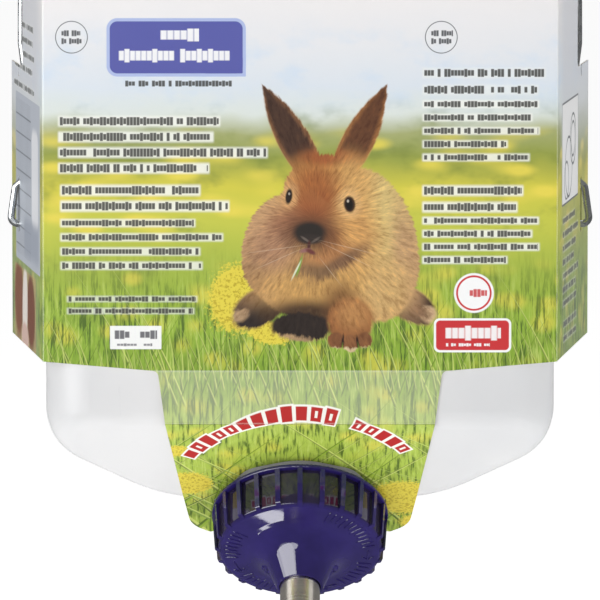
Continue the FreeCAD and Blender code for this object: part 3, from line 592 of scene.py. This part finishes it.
def paint_wings(art):
    """Pictures and small print on the two sides: a cage, a brown and white animal, a hand with the cap."""
    nodes = art.nodes
    # Out on the wings a pale wash goes over their tops. Lower down a grey wash is painted shade, for the
    # shade that the wings lie in.
    shade = nodes.step(abs(art.u), FOLD_U, FOLD_U + 20)
    art.paint(ink(214, 216, 222), shade * nodes.step(art.v, 62, 40) * 0.7)
    art.paint(ink(150, 156, 150), shade * nodes.step(art.v, 40, 70) * 0.35)
    art.paint(ink(188, 194, 204), art.plate((-122, 62), (34, 27), 1.0))
    mesh = abs((art.u / 3.4 - (art.u / 3.4).floor()) - 0.5)
    rows = abs((art.v / 6.0 - (art.v / 6.0).floor()) - 0.5)
    bars = nodes.maths("MAXIMUM", nodes.step(mesh, 0.40, 0.46), nodes.step(rows, 0.44, 0.48))
    art.paint(ink(96, 104, 116), art.plate((-134, 62), (21, 25), 1.0) * bars * 0.8)
    art.paint(ink(232, 234, 238), art.plate((-102, 60), (9, 16), 5.0, 1.5))
    art.paint(ink(160, 168, 182), art.plate((-112, 80), (20, 6), 2.0, 2.0) * 0.8)
    art.paint(ink(206, 160, 118), art.plate((-130, 103), (30, 12), 1.0) * 0.5)
    for centre, half, turn, colour in (
            ((-148, 101), (12, 13), 20, ink(140, 84, 54)), ((-114, 103), (11, 12), -20, ink(128, 72, 44)),
            ((-131, 103), (7, 14), 6, ink(240, 232, 222)), ((-131, 113), (10, 5), 0, ink(222, 190, 176))):
        art.paint(colour, art.oval(centre, half, turn, 0.2) * nodes.step(art.v, 90, 92))
    art.paint(ink(120, 124, 128), art.plate((116, 51), (22.6, 16.4), 0.6))
    art.paint(ink(240, 240, 240), art.plate((116, 51), (22.0, 15.8), 0.4))
    for centre, radius in (((124, 48), 8.0), ((124, 48), 5.5), ((112, 56), 9.5), ((106, 60), 6.0)):
        art.paint(ink(110, 112, 116), art.ring(centre, radius, 0.4) * art.plate((116, 51), (21, 15), 0.4))
    grey = ink(96, 98, 98)
    for left, top, length, rows, pitch in ((96, 70, 44, 7, 4.4), (98, 103, 46, 2, 4.6),
                                           (-158, 10, 56, 4, 4.6), (-160, 30, 60, 1, 4.6)):
        dashes(art, left, top, length, rows, pitch, 1.7, grey, 0.3)


def card_material():
    """Clay-coated card: printed outside, bare and fibrous inside and at its cut edges."""
    nodes = Finish("printed_card", IOR=1.45, Specular_IOR_Level=0.3)
    x, y, z = nodes.split(nodes.grid((1 / MM,) * 3))
    back = y - CARD_LOW.y / MM
    down = CARD_HIGH.z / MM - z
    side = nodes.maths("SIGN", x)
    wing = abs(x) > FOLD_U + 0.05
    round_fold = side * (FOLD_U + back * math.hypot(1, WING_FLARE / WING_DEPTH))
    u = x + wing * (round_fold - x)
    slope = down > FOLD_V
    v = down + slope * (down - FOLD_V) * (1 / math.sin(NECK_TILT) - 1)

    art = Print(nodes, u, v, (0, 0, 0))
    for painter in (paint_meadow, paint_grass, paint_flowers, paint_strip_glare, paint_rabbit, paint_words,
                    paint_badges, paint_arc, paint_wings):
        art.within(painter)

    dots = nodes.noise((5000, 5000, 5000), 1, 0.5)
    art.paint(ink(120, 120, 112), nodes.step(dots, 0.55, 0.8) * 0.05)
    creases = nodes.maths("MINIMUM", abs(abs(u) - FOLD_U), nodes.maths("MINIMUM", abs(v - FOLD_V),
                                                                     abs(v - PANEL_V)))
    art.paint(ink(246, 246, 238), nodes.step(creases, 0.45, 0.1) * nodes.step(dots, 0.3, 0.6) * 0.35)

    nx, ny, nz = nodes.split(nodes.normal)
    outside = nodes.maths("MAXIMUM", 0.0 - ny, nx * side * (abs(x) > FOLD_U - 1.0))
    outside = nodes.maths("MAXIMUM", outside, nz * (down < 0.3)) > 0.55
    fibre = nodes.noise((900, 900, 900), 4, 0.7)
    bare = nodes.mix(ink(206, 198, 184), ink(236, 231, 220), nodes.step(fibre, 0.35, 0.65))
    nodes.shade("Base Color", nodes.mix(bare, art.colour, outside))
    wave = nodes.noise((28, 28, 28), 2, 0.5)
    nodes.shade("Roughness", 0.80 - outside * 0.44 + (fibre - 0.5) * 0.12)
    nodes.bump(wave * 1.2 + fibre * 0.05, 0.0006, 0.5)
    return nodes.material


# ---------------------------------------------------------------- the other materials


def bottle_material():
    """Milky blow-moulded polyethylene: satin, a little uneven in tint, with fine scuffs."""
    nodes = Finish("milky_plastic", Roughness=0.36, IOR=1.5, Subsurface_Weight=0.25,
                  Subsurface_Radius=(0.9, 0.95, 1.0), Subsurface_Scale=0.004)
    cloud = nodes.noise((16, 16, 9), 3, 0.55)
    scuff = nodes.noise((420, 420, 60), 4, 0.7)
    tint = nodes.mix(ink(222, 223, 225), ink(233, 233, 234), nodes.step(cloud, 0.3, 0.7))
    nodes.shade("Base Color", nodes.mix(tint, ink(212, 213, 216), nodes.step(scuff, 0.62, 0.8) * 0.35))
    nodes.shade("Roughness", 0.33 + nodes.step(scuff, 0.45, 0.8) * 0.16 + (cloud - 0.5) * 0.1)
    nodes.bump(cloud * 1.0 + scuff * 0.02, 0.0012, 0.35)
    return nodes.material


def cap_material():
    """High-gloss deep purple moulding with flow marks, and painted shade that makes the panels between its
    ribs darker and greyer.
    """
    nodes = Finish("purple_plastic", IOR=1.6)
    flow = nodes.noise((70, 70, 70), 3, 0.6)
    mark = nodes.noise((900, 500, 900), 4, 0.75)
    tint = nodes.mix(ink(34, 25, 84), ink(42, 32, 98), nodes.step(flow, 0.3, 0.7))
    away = nodes.vector("SUBTRACT", nodes.place, RIM)
    along = nodes.measure("DOT_PRODUCT", away, NECK_AXIS)
    from_axis = nodes.measure("LENGTH", nodes.vector("SUBTRACT", away, nodes.scale(tuple(NECK_AXIS), along)))
    panel = nodes.step(from_axis, 27.3 * MM, 26.6 * MM) * nodes.step(along, 14.5 * MM, 13.0 * MM)
    # Painted shade: the panels between the ribs are painted darker and greyer, dappled by the flow noise.
    painted_shade_between_ribs = nodes.mix(ink(26, 21, 40), ink(44, 36, 60), nodes.step(flow, 0.4, 0.6))
    tint = nodes.mix(tint, painted_shade_between_ribs, panel * 0.85)
    nodes.shade("Base Color", nodes.mix(tint, ink(76, 66, 130), nodes.step(mark, 0.68, 0.85) * 0.2))
    nodes.shade("Roughness", 0.05 + nodes.step(mark, 0.5, 0.85) * 0.10 + (flow - 0.5) * 0.03)
    nodes.bump(flow * 1.0 + mark * 0.004, 0.00012, 0.3)
    return nodes.material


def tube_material():
    """Drawn stainless steel, turned to a satin finish, so its fine marks run round the axis."""
    nodes = Finish("stainless_tube", Metallic=1.0, Roughness=0.2)
    along = nodes.measure("DOT_PRODUCT", nodes.place, NECK_AXIS) * 2600.0
    rings = Value(nodes, nodes.add("TexNoise", None, along, 1.0, 3.0, 0.7, noise_dimensions="1D")[0])
    stain = nodes.noise((150, 150, 150), 4, 0.6)
    tint = nodes.mix(ink(214, 206, 194), ink(240, 234, 224), nodes.step(rings, 0.3, 0.7))
    nodes.shade("Base Color", nodes.mix(tint, ink(172, 158, 140), nodes.step(stain, 0.52, 0.8) * 0.5))
    nodes.shade("Roughness", 0.17 + rings * 0.12 + nodes.step(stain, 0.5, 0.8) * 0.1)
    nodes.bump(rings, 0.00003, 0.6)
    return nodes.material


def wire_material():
    """Bright galvanised wire: zinc spangle and die lines."""
    nodes = Finish("galvanised_wire", Metallic=1.0, Roughness=0.3)
    grid = nodes.grid((700, 700, 260))
    spangle = nodes.add("TexVoronoi", grid, None, 1.0)[1]
    grain = nodes.split(spangle)[0]
    dull = nodes.noise((300, 300, 300), 4, 0.65)
    tint = nodes.mix(ink(178, 182, 184), ink(222, 225, 226), grain)
    nodes.shade("Base Color", nodes.mix(tint, ink(132, 136, 138), nodes.step(dull, 0.5, 0.8) * 0.6))
    nodes.shade("Roughness", 0.22 + grain * 0.12 + nodes.step(dull, 0.45, 0.8) * 0.2)
    nodes.bump(dull + grain * 0.3, 0.00005, 0.5)
    return nodes.material


def ball_material():
    """Polished steel ball with hairline wear."""
    nodes = Finish("steel_ball", Metallic=1.0, Roughness=0.08)
    wear = nodes.noise((2000, 300, 900), 4, 0.7)
    nodes.shade("Base Color", nodes.mix(ink(228, 228, 230), ink(188, 188, 192), nodes.step(wear, 0.5, 0.8)))
    nodes.shade("Roughness", 0.06 + nodes.step(wear, 0.5, 0.8) * 0.16)
    return nodes.material


def foam_material():
    """Closed-cell foam: fine pits in an off-white sheet."""
    nodes = Finish("liner_foam", Roughness=0.85)
    cells = nodes.add("TexVoronoi", nodes.grid((2600, 2600, 2600)), None, 1.0)[0]
    pit = nodes.step(cells, 0.15, 0.6)
    nodes.shade("Base Color", nodes.mix(ink(196, 195, 188), ink(232, 231, 225), pit))
    nodes.shade("Roughness", 0.95 - pit * 0.15)
    nodes.bump(pit, 0.0001, 0.7)
    return nodes.material


def rubber_material():
    """Moulded black rubber with a slight bloom."""
    nodes = Finish("grommet_rubber", Roughness=0.6)
    bloom = nodes.noise((500, 500, 500), 4, 0.65)
    nodes.shade("Base Color", nodes.mix(ink(34, 34, 37), ink(66, 66, 68), nodes.step(bloom, 0.4, 0.75)))
    nodes.shade("Roughness", 0.5 + bloom * 0.3)
    nodes.bump(bloom, 0.00008, 0.5)
    return nodes.material


def weld_material():
    """Resistance weld: dull grey scale over zinc, browned at its edge."""
    nodes = Finish("weld_scale", Metallic=0.85, Roughness=0.5)
    scale = nodes.noise((1400, 1400, 1400), 4, 0.7)
    nodes.shade("Base Color", nodes.mix(ink(112, 104, 96), ink(176, 176, 174), nodes.step(scale, 0.35, 0.7)))
    nodes.shade("Roughness", 0.4 + scale * 0.35)
    nodes.bump(scale, 0.0002, 0.7)
    return nodes.material


# ---------------------------------------------------------------- small shapes


def new_piece(name, mesh_builder, material, body):
    """A mesh object that rides on a body and takes the slot's finish."""
    mesh = bpy.data.meshes.new(name)
    mesh_builder.to_mesh(mesh)
    mesh_builder.free()
    piece = bpy.data.objects.new(name, mesh)
    bpy.context.scene.collection.objects.link(piece)
    mesh.materials.append(material)
    for polygon in mesh.polygons:
        polygon.use_smooth = True
    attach(piece, body)


def add_ridge(shape, points, normals, half_width, height, sink=0.15 * MM, sides=8):
    """A raised bead of half-round section along points on a surface, with rounded ends."""
    rings, last = [], len(points) - 1
    for i, (point, up) in enumerate(zip(points, normals)):
        ahead = (points[min(i + 1, last)] - points[max(i - 1, 0)]).normalized()
        across = ahead.cross(up).normalized()
        size = 0.45 if i in (0, last) else 1.0
        ring = [point - across * half_width * size - up * sink]
        for k in range(sides + 1):
            turn = math.pi * k / sides
            ring.append(point - across * (math.cos(turn) * half_width * size)
                        + up * (math.sin(turn) * height * size))
        ring.append(point + across * half_width * size - up * sink)
        rings.append([shape.verts.new(place) for place in ring])
    for one, two in zip(rings, rings[1:]):
        for k in range(len(one)):
            after = (k + 1) % len(one)
            shape.faces.new((one[k], two[k], two[after], one[after]))
    shape.faces.new(rings[0])
    shape.faces.new(list(reversed(rings[-1])))


def surface_of(node):
    mesh = frame["nodes"][node].data
    return BVHTree.FromPolygons([v.co.copy() for v in mesh.vertices],
                                [tuple(p.vertices) for p in mesh.polygons])


def on_dome(tree, radius, angle):
    """The point and outward normal on the cap's face at a radius in mm and an angle in degrees."""
    turn = math.radians(angle)
    spoke = NECK_X * math.cos(turn) + NECK_Y * math.sin(turn)
    start = RIM + spoke * (radius * MM) + NECK_AXIS * (50 * MM)
    point, normal, _, _ = tree.ray_cast(start, -NECK_AXIS)
    return point, normal if normal.dot(NECK_AXIS) > 0 else -normal


MARK_OUTER = 24.1            # radii on the cap's dome, in mm
MARK_INNER = 19.8
LONG_MARK_INNER = 18.9
ARROW_RADIUS = 21.8
MARK_PITCH = 5.4             # degrees
MARK_RUNS = ((66, 8), (152, 188), (218, 252), (-18, -52))
ARROW_RUNS = ((2, -12), (194, 212), (-58, -72))
ARROW_STEPS = 8
BARB_REACH = 1.8             # mm to each side of the arrow
BARB_SWEEP = 2.6             # steps back from its tip


def make_cap_marks(material):
    """Raised tally marks round the dome, every third one longer, and arrows that show which way the cap
    turns."""
    tree = surface_of("cap_shell")
    marks, arrows = bmesh.new(), bmesh.new()

    def mark(shape, path, half_width=0.30, height=0.34):
        places = [on_dome(tree, radius, angle) for radius, angle in path]
        add_ridge(shape, [p for p, n in places], [n for p, n in places], half_width * MM, height * MM)

    for start, stop in MARK_RUNS:
        count = round(abs(stop - start) / MARK_PITCH)
        for i in range(count + 1):
            angle = start + (stop - start) * i / count
            inner = MARK_INNER if i % 3 else LONG_MARK_INNER
            mark(marks, [(inner + (MARK_OUTER - inner) * k / 5, angle) for k in range(6)])
    for start, stop in ARROW_RUNS:
        step = (stop - start) / ARROW_STEPS
        mark(arrows, [(ARROW_RADIUS, start + step * k) for k in range(ARROW_STEPS + 1)], 0.34, 0.36)
        for side in (-1, 1):
            barb = [(ARROW_RADIUS + side * BARB_REACH * k / 4, stop - step * BARB_SWEEP * k / 4)
                    for k in range(5)]
            mark(arrows, barb, 0.34, 0.36)
    new_piece("cap_tally_marks", marks, material, "cap")
    new_piece("cap_turn_arrows", arrows, material, "cap")


def make_weld(name, hook, material):
    """The bead where a hook wire is welded on the bail."""
    hook_low, hook_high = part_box(hook)
    bail_low, bail_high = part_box("hanger_bail")
    middle = Vector(((hook_low.x + hook_high.x) / 2, (bail_low.y + bail_high.y) / 2,
                     bail_high.z - 0.1 * MM))
    shape = bmesh.new()
    bmesh.ops.create_icosphere(shape, subdivisions=4, radius=1.0)
    for vertex in shape.verts:
        rough = 1 + 0.12 * noise.noise(vertex.co * 2.2 + middle * 400)
        flat = Vector((vertex.co.x * 1.75, vertex.co.y * 1.6, vertex.co.z * 0.75)) * rough
        vertex.co = middle + flat * MM
    new_piece(name, shape, material, "bottle")


PARTING_START = 33 * MM      # from the bottle's middle plane, to clear the neck's pad
PARTING_PITCH = 0.9 * MM     # between the places that are tried; every second one found is kept
PARTING_TRIES = 60
PARTING_SHIFT = 12 * MM      # how far it lies behind the middle between the front face and the bail
PARTING_TOP = 50 * MM        # above the bottle's lowest point


def make_parting_line(material):
    """The mould's parting line, a fine bead over the shoulders and underside, clear of the neck."""
    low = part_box("bottle_shell")[0]
    depth = (low.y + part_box("hanger_bail")[0].y) / 2 + PARTING_SHIFT
    top = low.z + PARTING_TOP
    section = bmesh.new()
    section.from_mesh(frame["nodes"]["bottle_shell"].data)
    cut = bmesh.ops.bisect_plane(section, geom=section.verts[:] + section.edges[:] + section.faces[:],
                                 dist=1e-7, plane_co=(0, depth, 0), plane_no=(0, 1, 0))["geom_cut"]
    outline = [v.co.copy() for v in cut if isinstance(v, bmesh.types.BMVert)]
    section.free()
    shape = bmesh.new()
    for side in (-1, 1):
        path = []
        for i in range(PARTING_TRIES):
            across = side * (PARTING_START + i * PARTING_PITCH)
            near = [p for p in outline if abs(p.x - across) < 1.5 * MM and p.z < top]
            if near:
                path.append(Vector((across, depth, min(p.z for p in near))))
        path = path[::2]
        normals = []
        for i in range(len(path)):
            ahead = path[min(i + 1, len(path) - 1)] - path[max(i - 1, 0)]
            normal = Vector((0, 1, 0)).cross(ahead).normalized()
            normals.append(normal if normal.z < 0 else -normal)
        add_ridge(shape, path, normals, 0.4 * MM, 0.22 * MM)
    new_piece("bottle_parting_line", shape, material, "bottle")


# ---------------------------------------------------------------- the studio


def add_camera():
    """In front of the bottle and looking down on it by about six degrees, with a long lens."""
    aim = Vector((0, CARD_LOW.y, -0.115))
    distance, rise = 2.7, math.radians(5.9)
    data = bpy.data.cameras.new("front_view")
    data.sensor_width, data.lens = 36.0, 514.0
    data.clip_start, data.clip_end = 0.1, 100.0
    camera = bpy.data.objects.new("front_view", data)
    bpy.context.scene.collection.objects.link(camera)
    camera.location = aim + Vector((0, -math.cos(rise), math.sin(rise))) * distance
    camera.rotation_mode = "QUATERNION"
    camera.rotation_quaternion = (aim - camera.location).to_track_quat("-Z", "Y")
    bpy.context.scene.camera = camera


LIGHT_AIM = Vector((0, 0.02, -0.15))


def add_light(name, place, power, size, stretch=1.0, aim=LIGHT_AIM, diffuse=True, gloss=True):
    """An oval area light; stretch is its height over its width. It may give no matt light or no
    reflections."""
    data = bpy.data.lights.new(name, "AREA")
    data.shape, data.energy, data.size, data.size_y = "ELLIPSE", power, size, size * stretch
    lamp = bpy.data.objects.new(name, data)
    lamp.visible_diffuse = diffuse
    lamp.visible_glossy = gloss
    bpy.context.scene.collection.objects.link(lamp)
    lamp.location = place
    lamp.rotation_mode = "QUATERNION"
    lamp.rotation_quaternion = (aim - Vector(place)).to_track_quat("-Z", "Y")


FLOOR_DROP = 60 * MM         # below the tube's mouth, because the bottle hangs


def add_studio():
    """Pale floor, even white surround that is darker in reflections, a softbox with a separate glint, a
    fill and a top light, and a small card of light below the tube."""
    scene = bpy.context.scene
    scene.view_settings.view_transform = "Standard"
    world = bpy.data.worlds.new("studio")
    world.use_nodes = True
    tree = world.node_tree
    tree.nodes.clear()
    output = tree.nodes.new("ShaderNodeOutputWorld")
    mixed = tree.nodes.new("ShaderNodeMixShader")
    rays = tree.nodes.new("ShaderNodeLightPath")
    for strength, level, socket in ((0.27, 1.0, 1), (0.22, 0.9, 2)):
        light = tree.nodes.new("ShaderNodeBackground")
        light.inputs["Color"].default_value = (level, level, level, 1)
        light.inputs["Strength"].default_value = strength
        tree.links.new(light.outputs[0], mixed.inputs[socket])
    tree.links.new(rays.outputs["Is Glossy Ray"], mixed.inputs[0])
    tree.links.new(mixed.outputs[0], output.inputs[0])
    scene.world = world

    add_light("softbox", (-0.86, -0.83, 0.13), 5.5, 1.1)
    add_light("softbox_glint", (-0.88, -0.81, 0.14), 24.0, 2.0, 0.42, diffuse=False)
    add_light("fill", (1.35, -0.4, 0.0), 4.5, 0.6, gloss=False)
    add_light("top", (0.1, 0.5, 1.2), 3.0, 0.8)
    add_light("low_card", (-0.018, 0.018, -0.32), 0.006, 0.05, 0.14, aim=Vector((-0.018, 0.018, 0)))

    shape = bmesh.new()
    bmesh.ops.create_grid(shape, x_segments=8, y_segments=8, size=9.0)
    mesh = bpy.data.meshes.new("studio_floor")
    shape.to_mesh(mesh)
    shape.free()
    floor = bpy.data.objects.new("studio_floor", mesh)
    floor.location.z = cad_box[0].z - FLOOR_DROP
    floor.visible_glossy = False
    scene.collection.objects.link(floor)
    nodes = Finish("studio_floor", Roughness=0.9)
    soft = nodes.noise((3, 3, 3), 2, 0.5)
    nodes.shade("Base Color", nodes.mix(ink(250, 250, 250), ink(254, 254, 254), soft))
    nodes.shade("Emission Color", (1, 1, 1))
    nodes.shade("Emission Strength", 0.70)
    mesh.materials.append(nodes.material)


# ---------------------------------------------------------------- putting it together


def main():
    add_camera()
    add_studio()
    milky, purple, wire = bottle_material(), cap_material(), wire_material()
    ball = ball_material()
    finishes = {
        "bottle_shell": milky, "printed_sleeve": card_material(), "cap_shell": purple,
        "cap_liner": foam_material(), "tube_grommet": rubber_material(), "drinking_tube": tube_material(),
        "valve_ball_lower": ball, "valve_ball_upper": ball, "hanger_bail": wire,
        "cage_hook_left": wire, "cage_hook_right": wire}
    for node, material in finishes.items():
        mesh = frame["nodes"][node].data
        mesh.materials.clear()
        mesh.materials.append(material)
    make_cap_marks(purple)
    weld = weld_material()
    make_weld("weld_left", "cage_hook_left", weld)
    make_weld("weld_right", "cage_hook_right", weld)
    make_parting_line(milky)


main()
